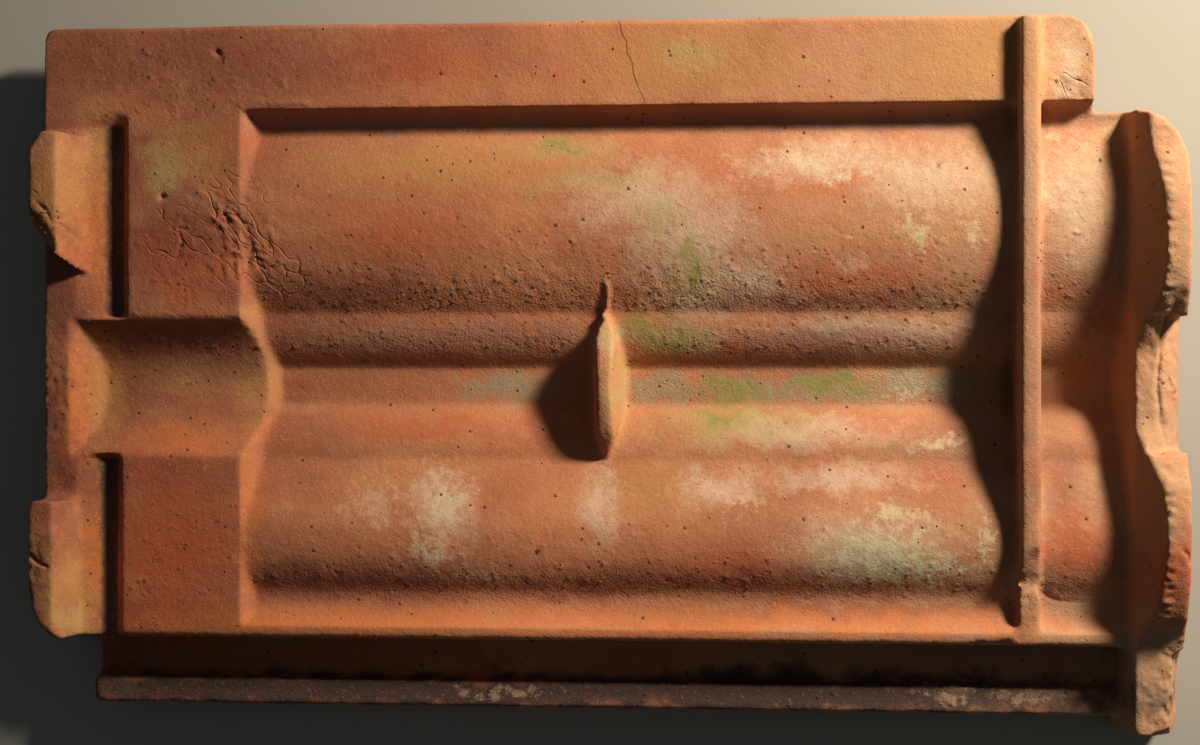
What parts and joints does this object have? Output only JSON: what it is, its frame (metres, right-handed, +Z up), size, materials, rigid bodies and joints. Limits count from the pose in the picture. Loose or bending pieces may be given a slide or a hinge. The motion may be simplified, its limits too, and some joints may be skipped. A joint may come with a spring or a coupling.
{
  "type": "clay roof tile",
  "caption": "Interlocking pressed clay roof tile with troughs, a hooked foot lip and hanging nibs, lying on its weather face.",
  "frame": {"origin": "on the floor, under the middle of the tile as it lies on its weather face", "axes": "+X from the head (nibs) to the foot (lip), +Y to the water-channel flange, +Z up, out of the tile's back"},
  "size_m": [0.408, 0.253, 0.046],
  "materials": {
    "terracotta": "matte fired clay, unglazed, weathered"
  },
  "bodies": {
    "root": {"tile": "terracotta"}
  },
  "joints": []
}
